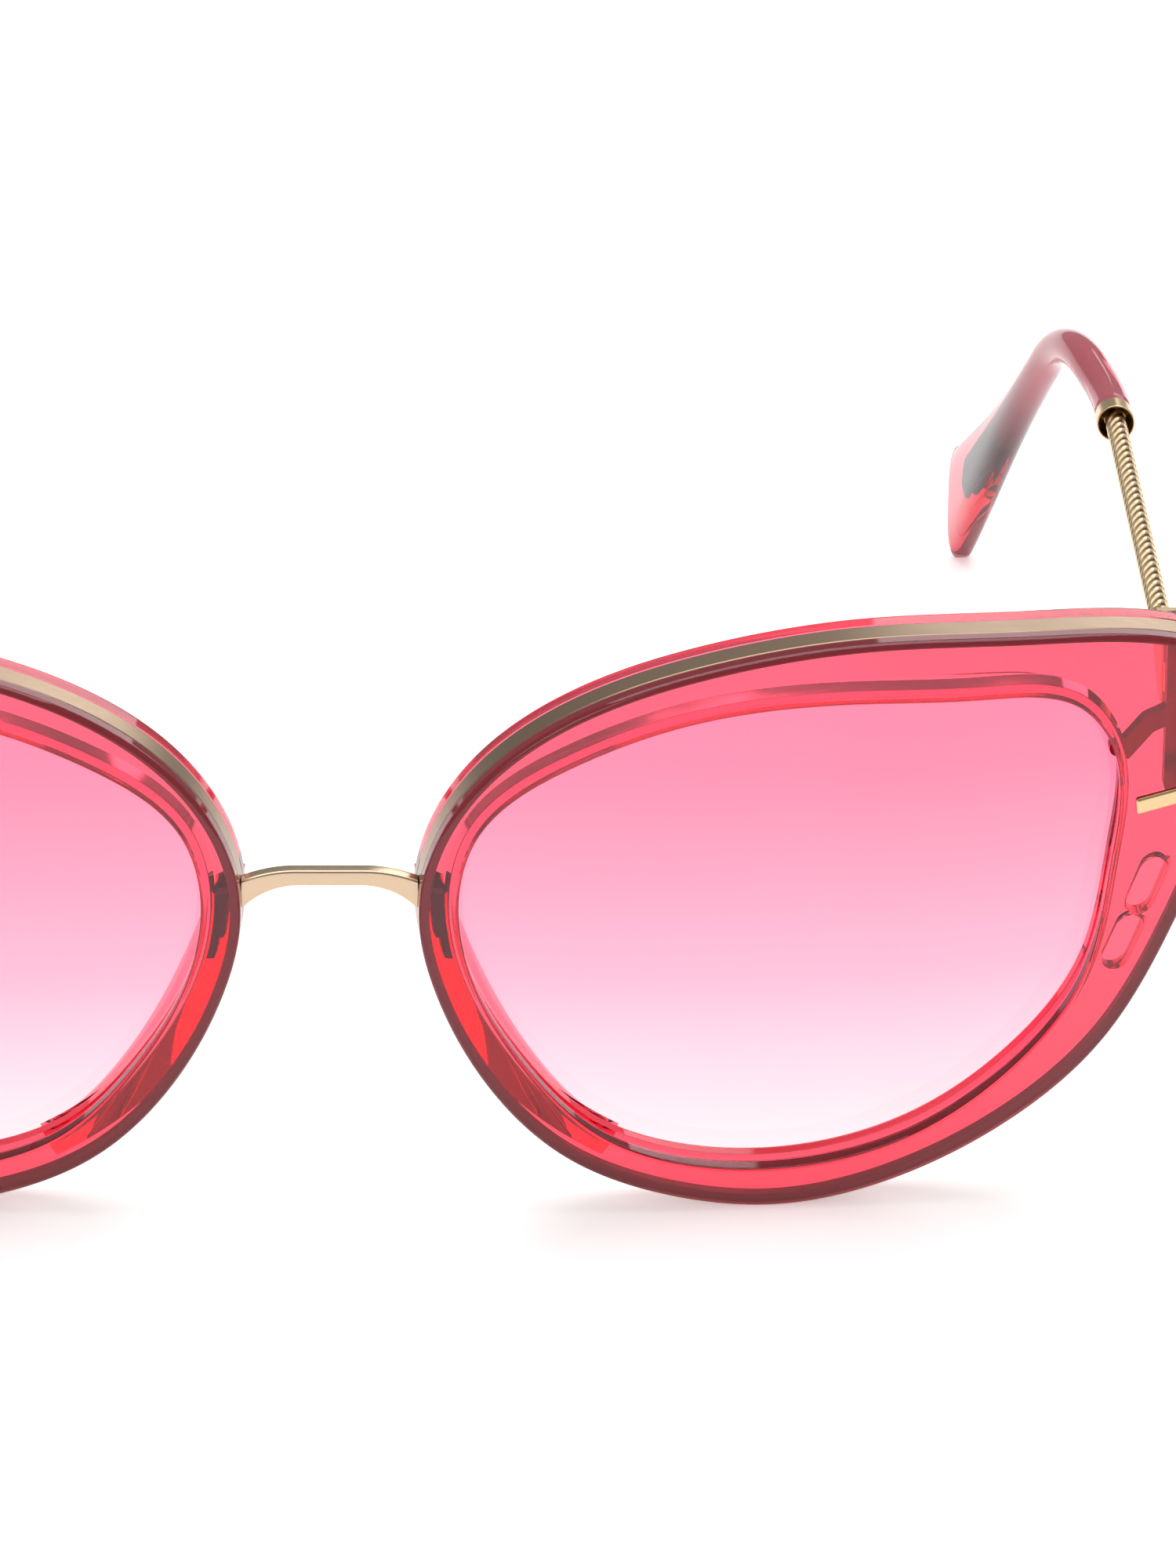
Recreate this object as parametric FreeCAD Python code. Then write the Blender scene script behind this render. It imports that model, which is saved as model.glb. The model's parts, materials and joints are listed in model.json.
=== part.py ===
import FreeCAD, Part
import math
import os

from FreeCAD import Placement, Rotation, Vector

# Cat eye sunglasses, open and standing on the rims' bottoms and the temple tips.
# Millimetres, +Z up. The front faces -Y and the temples run back along +Y.
# The wearer's left side is +X. The left side is modelled and mirrored to the right.

# Overall sizes
lens_width = 53.0
lens_height = 43.0
nose_gap = 13.1
shank_length = 64.0

# Front: each rim lies on a sphere, wrapped round the face and leaning a little
base_radius = 115.0
wrap_angle = 5.0
lean_angle = 5.0
rim_thickness = 4.8

# Lens in its groove
lens_thickness = 2.0
lens_inset = 1.4
lens_groove = 0.6
lens_play = 0.03

# Metal trim let into the rim's outer edge
trim_inset = 1.2
trim_width = 2.0
trim_depth = 1.0

# Bridge between the two trims, as a flat bar with rounded shoulders
bridge_top_v = 5.9
bridge_height = 1.3
bridge_depth = 1.3
bridge_shoulder = 4.2
bridge_fall = 0.85
bridge_arch_length = 4.5
bridge_arch_radius = 6.0

# Anchor of the bridge, moulded into each rim between the trim and the lens
anchor_v = 2.5
anchor_length = 3.8
anchor_depth = 1.6
anchor_clearance = 0.25
anchor_tail_width = 0.6
anchor_tail_length = 1.8
anchor_play = 0.02

# Nose pad, glued to the rim's back: a fin that leans towards the lens
pad_height = 5.6
pad_lean = 1.6
pad_root_width = 2.5
pad_rear_width = 0.9
pad_sink = 1.0
pad_skew = 0.7
pad_fullness = 1.1
pad_end_sink = 0.3
pad_squareness = 3.0
pad_facet_cut = 0.35
pad_facet_share = 0.45

# Gold bar let into the front face of each corner
bar_length = 7.4
bar_height = 1.3
bar_proud = 0.35
bar_sunk = 0.35
bar_slope = 5.0
bar_pin_radius = 0.5
bar_pin_length = 1.6
bar_pin_spacing = 3.6

# Hinge between the front and the temple
pin_standoff = 3.1
pin_radius = 0.6
pin_play = 0.03
knuckle_radius = 1.4
knuckle_height = 2.5
knuckle_gap = 0.06
lug_width = 2.4
screw_head_radius = 1.25
screw_head_height = 0.7
screw_slot_width = 0.3
screw_slot_depth = 0.35
plate_thickness = 0.9
plate_width = 3.2
arm_width = 1.5
bracket_screw_radius = 0.55
bracket_screw_head_radius = 0.95
bracket_screw_head_height = 0.45
bracket_screw_clearance = 0.1

# Two rounded pockets milled into the back of each corner, below the hinge
pocket_width = 2.3
pocket_depth = 1.4

# Temple: a straight shank, a short neck and a drop behind the ear
shank_fall = 2.8
shank_toe_in = 0.5
neck_length = 15.9
neck_toe_in = 9.8
neck_bend_radius = 44.0
drop_angle = 39.0
drop_toe_in = 8.0
drop_bend_radius = 26.0
end_gap = 0.5
end_length = 7.0
end_width = 2.7
end_height = 7.0
end_shoulder = 2.7
end_edge_radius = 0.4
web_width = 1.9
wire_radius = 0.55
wire_play = 0.02
wire_socket = 4.4
wire_tip_gap = 6.5
collar_radius = 1.25
collar_length = 2.4
collar_taper_length = 0.44
chain_radius = 0.88
chain_length = 47.6
chain_play = 0.03
ferrule_radius = 1.6
ferrule_length = 2.3
ferrule_lip = 0.12
ferrule_dish = 1.0
ferrule_socket = 0.5
tip_radius = 1.55
tip_flare_start = 0.42
tip_flare_power = 2.0
tip_end_height = 11.0
tip_end_thickness = 2.8
tip_end_round = 1.3
tip_end_middle = 0.6
tip_end_narrowing = 0.9
tip_squareness = 1.4

# Outlines seen square to the lens, u to the temple side and v up, drawn for a 53 x 43 lens
drawn_lens_width = 53.0
drawn_lens_height = 43.0
rim_points = [
    (-29.6, 3.5), (-28.1, -4.8), (-24.0, -13.0), (-17.6, -19.8), (-9.6, -23.4),
    (-0.5, -24.6), (8.5, -22.6), (17.2, -18.1), (24.7, -11.4), (30.0, -2.0),
    (33.7, 7.0), (35.6, 14.5), (34.6, 20.6), (29.5, 23.5), (17.9, 25.2),
    (5.4, 25.8), (-6.9, 24.2), (-17.6, 20.3), (-25.6, 13.7),
]
aperture_points = [
    (-26.5, 4.7), (-24.8, -4.3), (-21.0, -10.9), (-15.2, -17.2), (-7.5, -20.2),
    (1.0, -20.5), (10.0, -17.9), (17.4, -12.5), (22.8, -5.1), (25.0, 5.5),
    (25.2, 14.5), (22.3, 18.9), (14.1, 20.6), (4.0, 21.1), (-7.5, 20.1),
    (-17.8, 16.2), (-24.9, 10.2),
]
pad_line = [(-28.3, 5.2), (-27.2, -2.0), (-24.9, -8.2), (-20.4, -14.4), (-13.5, -19.6)]
bar_place = (30.6, 10.5)
pin_place = (30.8, 17.0)
plate_ends = [(30.8, 9.8), (31.0, 21.0)]
arm_places = [(30.4, 15.6), (27.9, 14.9), (25.9, 13.0)]
pocket_ends = [[(28.5, 2.9), (27.5, 0.4)], [(26.7, -1.9), (25.7, -4.3)]]

# How finely curves are followed
offset_samples_per_point = 2
search_samples = 400
tip_section_points = 16
tip_sections = 14
pad_section_points = 16
pad_sections = 12
reach = 60.0

origin = Vector(0, 0, 0)
up = Vector(0, 0, 1)


def stretched(points):
    """Places drawn for the 53 x 43 lens, stretched to the lens that is wanted."""
    across = lens_width / drawn_lens_width
    upward = lens_height / drawn_lens_height
    return [(u * across, v * upward) for u, v in points]


def closed_curve(points):
    """A smooth closed curve through (u, v) points, in the plane that touches the front."""
    curve = Part.BSplineCurve()
    curve.interpolate([Vector(u, 0, v) for u, v in points], PeriodicFlag=True)
    return curve


def along_outline(points, count, distance=0.0):
    """Points along an outline, each moved outward by a distance."""
    curve = closed_curve(points)
    span = curve.LastParameter - curve.FirstParameter
    moved = []
    for index in range(count):
        at = curve.FirstParameter + span * index / count
        point = curve.value(at)
        tangent = curve.tangent(at)[0]
        moved.append((point.x + tangent.z * distance, point.z - tangent.x * distance))
    return moved


def offset_outline(points, distance):
    return along_outline(points, len(points) * offset_samples_per_point, distance)


def prism(points):
    """A prism on a closed outline, through the whole depth of the front."""
    face = Part.Face(Part.Wire(closed_curve(points).toShape()))
    face.translate(Vector(0, -reach / 2, 0))
    return face.extrude(Vector(0, reach, 0))


def layer(solid, front, back):
    """The part of a solid between two depths behind the curved front surface."""
    centre = Vector(0, base_radius, 0)
    outside = Part.makeSphere(base_radius - front, centre)
    inside = Part.makeSphere(base_radius - back, centre)
    return solid.common(outside).cut(inside)


def surface_point(place, depth):
    """The point at a depth behind the front surface, above a (u, v) place."""
    u, v = place
    radius = base_radius - depth
    return Vector(u, base_radius - math.sqrt(radius ** 2 - u ** 2 - v ** 2), v)


def slot(start, end, width):
    """A bar with round ends from one place to another, through the whole depth."""
    first = Vector(start[0], -reach / 2, start[1])
    second = Vector(end[0], -reach / 2, end[1])
    half = width / 2
    along = (second - first).normalize() * half
    side = Vector(-along.z, 0, along.x)
    edges = [
        Part.makeLine(first + side, second + side),
        Part.Arc(second + side, second + along, second - side).toShape(),
        Part.makeLine(second - side, first - side),
        Part.Arc(first - side, first - along, first + side).toShape(),
    ]
    return Part.Face(Part.Wire(edges)).extrude(Vector(0, reach, 0))


def stud(place, front, back, radius):
    """A round stud between two depths, square to the curved surface."""
    foot = surface_point(place, back)
    inward = (Vector(0, base_radius, 0) - foot).normalize()
    return Part.makeCylinder(radius, back - front, foot - inward * (back - front), inward)


def turned(profile, start, direction):
    """A solid turned from (distance along, radius) points about a line from start."""
    points = [Vector(radius, 0, distance) for distance, radius in profile]
    face = Part.Face(Part.makePolygon(points + points[:1]))
    solid = face.revolve(origin, up, 360)
    solid.Placement = Placement(start, Rotation(up, direction))
    return solid


def facing(fall, toe_in):
    """The direction that runs back, falls by one angle and turns inward by another."""
    fall = math.radians(fall)
    toe_in = math.radians(toe_in)
    level = math.cos(fall)
    return Vector(-level * math.sin(toe_in), level * math.cos(toe_in), -math.sin(fall))


rim_outline = stretched(rim_points)
aperture_outline = stretched(aperture_points)
trim_floor = offset_outline(rim_outline, -trim_depth)
lens_edge = offset_outline(aperture_outline, lens_groove)
lens_seat = offset_outline(aperture_outline, lens_groove + lens_play)

# Where the eye's own axes stand: turned by the lean and the wrap, then moved so that
# the rims' nose sides are the nose gap apart and their bottoms stand at z = 0
eye_turn = Rotation(Vector(1, 0, 0), lean_angle).multiply(Rotation(up, wrap_angle))
rim_edge = []
for edge_depth in (0, rim_thickness):
    for edge_place in along_outline(rim_outline, search_samples):
        rim_edge.append(eye_turn.multVec(surface_point(edge_place, edge_depth)))
eye_x = nose_gap / 2 - min(point.x for point in rim_edge)
eye_z = -min(point.z for point in rim_edge)
eye_placement = Placement(Vector(eye_x, 0, eye_z), eye_turn)


def standing(shape):
    """A piece in the eye's own axes, put where it stands."""
    shape.Placement = eye_placement.multiply(shape.Placement)
    return shape


def standing_point(place, depth):
    return eye_placement.multVec(surface_point(place, depth))


def make_trim():
    ring = prism(rim_outline).cut(prism(trim_floor))
    return layer(ring, trim_inset, trim_inset + trim_width)


def make_lens():
    return layer(prism(lens_edge), lens_inset, lens_inset + lens_thickness)


def nose_side(points, v):
    """How far the nose side of an outline reaches at a height."""
    side = [place for place in along_outline(points, search_samples) if place[0] < 0]
    return min(side, key=lambda place: abs(place[1] - v))[0]


def make_anchor(play):
    """A flat block in the band between the trim and the lens, with a tail below on the lens side."""
    v = anchor_v * lens_height / drawn_lens_height
    top = v + anchor_length / 2 + play
    bottom = v - anchor_length / 2 - play
    rim_side = -trim_depth - anchor_clearance + play
    lens_side = lens_groove + lens_play + anchor_clearance - play
    room = prism(offset_outline(aperture_outline, lens_side))
    band = prism(offset_outline(rim_outline, rim_side)).cut(room)
    strip = prism(offset_outline(aperture_outline, lens_side + anchor_tail_width + 2 * play)).cut(room)
    corner = Vector(-reach, -reach / 2, bottom)
    block = band.common(Part.makeBox(reach, reach, top - bottom, corner))
    tail_corner = corner - up * anchor_tail_length
    tail = strip.common(Part.makeBox(reach, reach, anchor_tail_length + anchor_length / 2, tail_corner))
    middle_depth = trim_inset + trim_width / 2
    half_depth = anchor_depth / 2 + play
    return layer(block.fuse(tail).removeSplitter(), middle_depth - half_depth, middle_depth + half_depth)


def make_bar():
    """The front bar: a straight strip that follows the surface, with two pins into the rim."""
    centre_u, centre_v = stretched([bar_place])[0]
    slope = math.radians(bar_slope)

    def place(distance):
        return (centre_u + distance * math.cos(slope), centre_v + distance * math.sin(slope))

    strip = Part.makeBox(bar_length, reach, bar_height, Vector(-bar_length / 2, -reach / 2, -bar_height / 2))
    strip.rotate(origin, Vector(0, 1, 0), -bar_slope)
    strip.translate(Vector(centre_u, 0, centre_v))
    bar = layer(strip, -bar_proud, bar_sunk)
    for side in (-1, 1):
        pin_at = place(side * bar_pin_spacing / 2)
        bar = bar.fuse(stud(pin_at, 0, bar_sunk + bar_pin_length, bar_pin_radius))
    return bar.removeSplitter()


def make_bracket_screws():
    """Two screws through the bracket's plate into the rim's back."""
    back = rim_thickness + plate_thickness
    point_depth = trim_inset + trim_width + bracket_screw_clearance
    screws = []
    for place in stretched(plate_ends):
        shank = stud(place, point_depth, back, bracket_screw_radius)
        head = stud(place, back - bracket_screw_head_height, back, bracket_screw_head_radius)
        screws.append(shank.fuse(head).removeSplitter())
    return Part.makeCompound(screws)


def make_pockets():
    pockets = []
    for start, end in pocket_ends:
        start, end = stretched([start, end])
        pockets.append(layer(slot(start, end, pocket_width), rim_thickness - pocket_depth, rim_thickness))
    return pockets


def make_rim():
    """The acetate rim with everything that is let into it taken out."""
    rim = layer(prism(rim_outline), 0, rim_thickness).cut(prism(aperture_outline))
    trim_room = prism(offset_outline(rim_outline, trim_depth)).cut(prism(trim_floor))
    rim = rim.cut(layer(trim_room, trim_inset, trim_inset + trim_width))
    lens_room = prism(lens_seat).cut(prism(offset_outline(aperture_outline, -lens_groove)))
    lens_front = lens_inset - lens_play
    rim = rim.cut(layer(lens_room, lens_front, lens_inset + lens_thickness + lens_play))
    return rim.cut([make_anchor(anchor_play), make_bar(), make_bracket_screws()] + make_pockets())


def superellipse(count, squareness):
    """Points of |x|^n + |z|^n = 1, from their angles round the centre."""
    points = []
    for index in range(count):
        angle = 2 * math.pi * index / count
        cosine, sine = math.cos(angle), math.sin(angle)
        x = math.copysign(abs(cosine) ** (2 / squareness), cosine)
        z = math.copysign(abs(sine) ** (2 / squareness), sine)
        points.append((x, z))
    return points


def pad_station(share):
    """The middle of the pad's root, the ways down and towards the lens, and the height there."""
    line = Part.BSplineCurve()
    line.interpolate([Vector(u, 0, v) for u, v in stretched(pad_line)])
    at = line.FirstParameter + (line.LastParameter - line.FirstParameter) * share
    middle = line.value(at)
    downward = line.tangent(at)[0]
    to_lens = Vector(-downward.z, 0, downward.x)
    root = surface_point((middle.x, middle.z), rim_thickness)
    swell = math.sin(math.pi * share ** pad_skew) ** pad_fullness
    height = (pad_height + pad_end_sink) * swell - pad_end_sink
    return root, downward, to_lens, height


def pad_section(share):
    """A rounded wedge that stands on the rim's back, wide at its root and sunk into the rim."""
    root, downward, to_lens, height = pad_station(share)
    lean = pad_lean * height / pad_height
    points = []
    for x, z in superellipse(pad_section_points, pad_squareness):
        rise = (z + 1) / 2
        half_width = (pad_root_width + (pad_rear_width - pad_root_width) * rise) / 2
        depth = (height + pad_sink) * rise - pad_sink
        points.append(root + to_lens * (x * half_width + lean * rise) + Vector(0, depth, 0))
    curve = Part.BSplineCurve()
    curve.interpolate(points, PeriodicFlag=True)
    return Part.Wire(curve.toShape())


def make_pad():
    """A fin on the rim's back, shaved to one flat face towards the nose."""
    wires = [pad_section(index / pad_sections) for index in range(pad_sections + 1)]
    behind_rim = Part.makeSphere(base_radius - rim_thickness, Vector(0, base_radius, 0))
    fin = Part.makeLoft(wires, True).common(behind_rim)
    root, downward, to_lens, height = pad_station(pad_facet_share)
    nose_root = root - to_lens * (pad_root_width / 2)
    nose_rear = root + to_lens * (pad_lean - pad_rear_width / 2) + Vector(0, height, 0)
    outward = downward.cross(nose_rear - nose_root).normalize()
    if outward.dot(to_lens) > 0:
        outward = outward * -1
    return fin.cut(Part.makeCylinder(reach, reach, nose_root - outward * pad_facet_cut, outward))


def make_bridge(left_rim_room):
    """A flat bar with rounded shoulders, cut to meet the trims on both sides."""
    trim_middle = trim_inset + trim_width / 2
    top_v = bridge_top_v * lens_height / drawn_lens_height
    root = standing_point((nose_side(rim_outline, top_v), top_v), trim_middle)
    front_y = root.y - bridge_depth / 2
    top_z = root.z
    bottom_z = top_z - bridge_height
    flat = root.x - bridge_shoulder
    middle_fall = bridge_fall / 4  # a parabola has fallen a quarter by half way
    under = root.x - bridge_arch_length
    arch_turn = math.asin(bridge_arch_length / bridge_arch_radius)
    edges = []
    for side in (1, -1):

        def on_arch(turn):
            along = under + bridge_arch_radius * math.sin(turn)
            fallen = bridge_arch_radius * (1 - math.cos(turn))
            return Vector(side * along, front_y, bottom_z - fallen)

        top_near = Vector(side * flat, front_y, top_z)
        top_middle = Vector(side * (flat + bridge_shoulder / 2), front_y, top_z - middle_fall)
        top_far = Vector(side * root.x, front_y, top_z - bridge_fall)
        outer_top = top_far + Vector(side * bridge_shoulder, 0, 0)
        under_far = on_arch(arch_turn)
        outer_low = Vector(outer_top.x, front_y, under_far.z)
        edges.append(Part.Arc(top_near, top_middle, top_far).toShape())
        edges.append(Part.makeLine(top_far, outer_top))
        edges.append(Part.makeLine(outer_top, outer_low))
        edges.append(Part.makeLine(outer_low, under_far))
        edges.append(Part.Arc(under_far, on_arch(arch_turn / 2), on_arch(0)).toShape())
    edges.append(Part.makeLine(Vector(-flat, front_y, top_z), Vector(flat, front_y, top_z)))
    edges.append(Part.makeLine(Vector(-under, front_y, bottom_z), Vector(under, front_y, bottom_z)))
    outline = Part.Wire(Part.__sortEdges__(edges))
    bar = Part.Face(outline).extrude(Vector(0, bridge_depth, 0))
    return bar.cut([left_rim_room, mirrored(left_rim_room)])


def make_bracket(pin):
    """The hinge's front leaf: a plate with a curved arm on the rim's back, and two knuckles."""
    back = rim_thickness + plate_thickness
    low, high = stretched(plate_ends)
    arm = stretched(arm_places)
    plate = slot(low, high, plate_width)
    for start, end in zip(arm, arm[1:]):
        plate = plate.fuse(slot(start, end, arm_width))
    plate = standing(layer(plate, rim_thickness, back))
    behind_rim = standing(Part.makeSphere(base_radius - rim_thickness, Vector(0, base_radius, 0)))
    step = knuckle_height + knuckle_gap
    leaf = plate
    for side in (-1, 1):
        foot = pin + up * (side * step - knuckle_height / 2)
        knuckle = Part.makeCylinder(knuckle_radius, knuckle_height, foot)
        lug_corner = foot - Vector(lug_width / 2, pin_standoff + plate_thickness, 0)
        lug = Part.makeBox(lug_width, pin_standoff + plate_thickness, knuckle_height, lug_corner)
        leaf = leaf.fuse([knuckle, lug.common(behind_rim)])
    bore = Part.makeCylinder(pin_radius + pin_play, reach, pin)
    thread = Part.makeCylinder(pin_radius, reach, pin - up * reach)
    return leaf.cut([bore, thread, standing(make_bracket_screws())])


def make_hinge_screw(pin):
    """The hinge's pin is a screw: slotted head on top, thread in the lowest knuckle."""
    half_stack = 3 * knuckle_height / 2 + knuckle_gap
    shank = Part.makeCylinder(pin_radius, 2 * half_stack, pin - up * half_stack)
    head = Part.makeCylinder(screw_head_radius, screw_head_height, pin + up * half_stack)
    slot_floor = half_stack + screw_head_height - screw_slot_depth
    cut_corner = pin + Vector(-reach / 2, -screw_slot_width / 2, slot_floor)
    cut = Part.makeBox(reach, screw_slot_width, screw_slot_depth, cut_corner)
    return shank.fuse(head).removeSplitter().cut(cut)


def make_route(pin):
    """The temple's centre line: shank, neck and drop, joined by tangent arcs."""
    shank = facing(shank_fall, shank_toe_in)
    neck = facing(0, neck_toe_in)
    drop = facing(drop_angle, drop_toe_in)
    neck_corner = pin + shank * shank_length
    drop_corner = neck_corner + neck * neck_length
    drop_length = (drop_corner.z - tip_end_height / 2) / math.sin(math.radians(drop_angle))
    end = drop_corner + drop * drop_length
    edges = []
    start = pin
    for corner, before, after, radius in (
        (neck_corner, shank, neck, neck_bend_radius),
        (drop_corner, neck, drop, drop_bend_radius),
    ):
        half_turn = before.getAngle(after) / 2
        tangent_length = radius * math.tan(half_turn)
        arc_start = corner - before * tangent_length
        arc_end = corner + after * tangent_length
        to_centre = (after - before).normalize()
        arc_middle = corner + to_centre * (radius / math.cos(half_turn) - radius)
        edges.append(Part.makeLine(start, arc_start))
        edges.append(Part.Arc(arc_start, arc_middle, arc_end).toShape())
        start = arc_end
    edges.append(Part.makeLine(start, end))
    return edges


def on_route(route, distance):
    """The point and the direction at a distance along the temple's centre line."""
    for edge in route[:-1]:
        if distance <= edge.Length:
            break
        distance -= edge.Length
    else:
        edge = route[-1]
    at = edge.getParameterByLength(min(distance, edge.Length))
    return edge.valueAt(at), edge.tangentAt(at)


def make_wire(route):
    """The steel core, from the temple's end casting to near the tip's end."""
    length = sum(edge.Length for edge in route)
    end_point = on_route(route, length - wire_tip_gap)[0]
    start_point, start_direction = on_route(route, end_front + wire_socket)
    path = [Part.makeLine(start_point, route[0].lastVertex().Point)]
    path += route[1:-1]
    path.append(Part.makeLine(route[-1].firstVertex().Point, end_point))
    ring = Part.Wire(Part.Circle(start_point, start_direction, wire_radius).toShape())
    return Part.Wire(path).makePipeShell([ring], True, False)


def make_end(pin, wire):
    """The temple's end casting: the middle knuckle, a web and a block that tapers to the shank."""
    knuckle = Part.makeCylinder(knuckle_radius, knuckle_height, pin - up * knuckle_height / 2)
    web_corner = pin - Vector(web_width / 2, 0, knuckle_height / 2)
    web = Part.makeBox(web_width, end_front + end_gap, knuckle_height, web_corner)
    half = end_height / 2
    rear = end_front + end_length
    profile = [
        (end_front, -half), (end_front + end_shoulder, -half), (rear, -collar_radius),
        (rear, collar_radius), (end_front + end_shoulder, half), (end_front, half),
    ]
    points = [Vector(-end_width / 2, along, height) for along, height in profile]
    block = Part.Face(Part.makePolygon(points + points[:1])).extrude(Vector(end_width, 0, 0))
    block = block.makeFillet(end_edge_radius, block.Edges)
    block.Placement = Placement(pin, Rotation(Vector(0, 1, 0), facing(shank_fall, shank_toe_in)))
    bore = Part.makeCylinder(pin_radius + pin_play, reach, pin - up * reach / 2)
    return knuckle.fuse([web, block]).cut([bore, wire]).removeSplitter()


def make_collar(pin):
    bore = wire_radius + wire_play
    start = end_front + end_length
    end = start + collar_length
    profile = [(start, bore), (start, collar_radius), (end - collar_taper_length, collar_radius)]
    profile += [(end, chain_radius), (end, bore)]
    return turned(profile, pin, facing(shank_fall, shank_toe_in))


def make_chain(pin):
    """The envelope of the woven chain tube over the core."""
    bore = wire_radius + wire_play
    profile = [(chain_start, bore), (chain_start, chain_radius)]
    profile += [(chain_end, chain_radius), (chain_end, bore)]
    return turned(profile, pin, facing(shank_fall, shank_toe_in))


def make_ferrule(pin):
    """A round cap on the tip with a dished mouth that takes the chain's end."""
    socket = chain_radius + chain_play
    bore = wire_radius + wire_play
    mouth = chain_end - ferrule_socket - ferrule_dish
    profile = [
        (mouth, ferrule_radius - ferrule_lip), (mouth, ferrule_radius),
        (mouth + ferrule_length, ferrule_radius), (mouth + ferrule_length, bore),
        (chain_end, bore), (chain_end, socket), (chain_end - ferrule_socket, socket),
    ]
    return turned(profile, pin, facing(shank_fall, shank_toe_in))


def tip_section(centre, across, lift, half_width, half_height, squareness):
    points = []
    for x, z in superellipse(tip_section_points, squareness):
        points.append(centre + across * (x * half_width) + lift * (z * half_height))
    curve = Part.BSplineCurve()
    curve.interpolate(points, PeriodicFlag=True)
    return Part.Wire(curve.toShape())


def make_tip(route, wire):
    """The acetate tip: round at the ferrule, flaring down the drop to an upright blunt end."""
    start = chain_end - ferrule_socket - ferrule_dish + ferrule_length
    body = sum(edge.Length for edge in route) - start
    stations = [(index / tip_sections, 0.0) for index in range(tip_sections + 1)]
    stations += [(1.0, tip_end_middle), (1.0, 1.0)]
    sections = []
    for share, rounding in stations:
        centre, along = on_route(route, start + body * share)
        flare = max((share - tip_flare_start) / (1 - tip_flare_start), 0) ** tip_flare_power
        level = Vector(along.x, along.y, 0).normalize()
        normal = (along * (1 - flare) + level * flare).normalize()
        across = normal.cross(up).normalize()
        lift = across.cross(normal)
        inset = tip_end_round * (1 - math.sqrt(1 - (rounding * tip_end_narrowing) ** 2))
        half_height = tip_radius + (tip_end_height / 2 - tip_radius) * flare - inset
        half_width = tip_radius + (tip_end_thickness / 2 - tip_radius) * flare - inset
        centre = centre + level * tip_end_round * rounding
        squareness = 2 + tip_squareness * flare
        sections.append(tip_section(centre, across, lift, half_width, half_height, squareness))
    return Part.makeLoft(sections, True, True).cut(wire)


def mirrored(shape):
    return shape.mirror(origin, Vector(1, 0, 0))


end_front = knuckle_radius + end_gap
chain_start = end_front + end_length + collar_length
chain_end = chain_start + chain_length
left_pin = standing_point(stretched([pin_place])[0], rim_thickness) + Vector(0, pin_standoff, 0)
left_route = make_route(left_pin)
left_wire = make_wire(left_route)
rim_room = standing(layer(prism(rim_outline), 0, rim_thickness))

left_pieces = {
    "rim": standing(make_rim()),
    "rim_trim": standing(make_trim()),
    "lens": standing(make_lens()),
    "nose_pad": standing(make_pad()),
    "bridge_anchor": standing(make_anchor(0)),
    "front_bar": standing(make_bar()),
    "bracket_screws": standing(make_bracket_screws()),
    "hinge_bracket": make_bracket(left_pin),
    "hinge_screw": make_hinge_screw(left_pin),
    "temple_end": make_end(left_pin, left_wire),
    "temple_collar": make_collar(left_pin),
    "temple_wire": left_wire,
    "temple_chain": make_chain(left_pin),
    "temple_ferrule": make_ferrule(left_pin),
    "temple_tip": make_tip(left_route, left_wire),
}
pieces = {"bridge": make_bridge(rim_room)}
for name, shape in left_pieces.items():
    pieces["left_" + name] = shape
    pieces["right_" + name] = mirrored(shape)

# The origin is under the middle of the whole object's box, at the height it stands on
whole = Part.makeCompound(list(pieces.values())).optimalBoundingBox(False, False)
to_origin = Vector(0, -(whole.YMin + whole.YMax) / 2, -whole.ZMin)
os.makedirs("parts", exist_ok=True)
for name, shape in pieces.items():
    shape.translate(to_origin)
    shape.exportStep("parts/" + name + ".step")
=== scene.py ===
import json
import math

import bpy
import numpy as np
from mathutils import Euler, Matrix, Vector


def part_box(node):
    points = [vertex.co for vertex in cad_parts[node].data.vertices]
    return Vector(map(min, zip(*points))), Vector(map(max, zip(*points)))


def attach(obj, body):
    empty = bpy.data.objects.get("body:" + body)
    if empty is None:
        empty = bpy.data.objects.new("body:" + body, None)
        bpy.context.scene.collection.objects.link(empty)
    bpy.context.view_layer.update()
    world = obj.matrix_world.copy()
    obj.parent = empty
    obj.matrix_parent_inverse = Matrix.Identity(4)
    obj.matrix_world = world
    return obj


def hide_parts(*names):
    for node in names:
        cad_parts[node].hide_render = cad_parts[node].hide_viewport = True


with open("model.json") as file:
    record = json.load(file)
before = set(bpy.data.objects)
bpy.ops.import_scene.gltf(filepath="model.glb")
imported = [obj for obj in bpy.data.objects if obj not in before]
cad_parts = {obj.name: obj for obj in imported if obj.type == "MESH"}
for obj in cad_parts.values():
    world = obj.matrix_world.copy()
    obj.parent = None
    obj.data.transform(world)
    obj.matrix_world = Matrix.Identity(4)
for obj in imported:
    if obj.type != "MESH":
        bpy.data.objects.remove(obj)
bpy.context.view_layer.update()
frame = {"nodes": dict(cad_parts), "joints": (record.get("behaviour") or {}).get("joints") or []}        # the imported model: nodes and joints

mm = 0.001
sideNames = {"left": 1, "right": -1}

bpy.context.scene.view_settings.view_transform = "Standard"
camera = {
    "target": (0, -49.7, 30.7),   # mm, just behind the bridge
    "distance": 850,              # mm
    "height": 24.5,               # degrees above the floor
    "aside": 1.388,               # degrees that the view is turned to the wearer's left
    "lens": 244.8,                # mm
}


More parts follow.
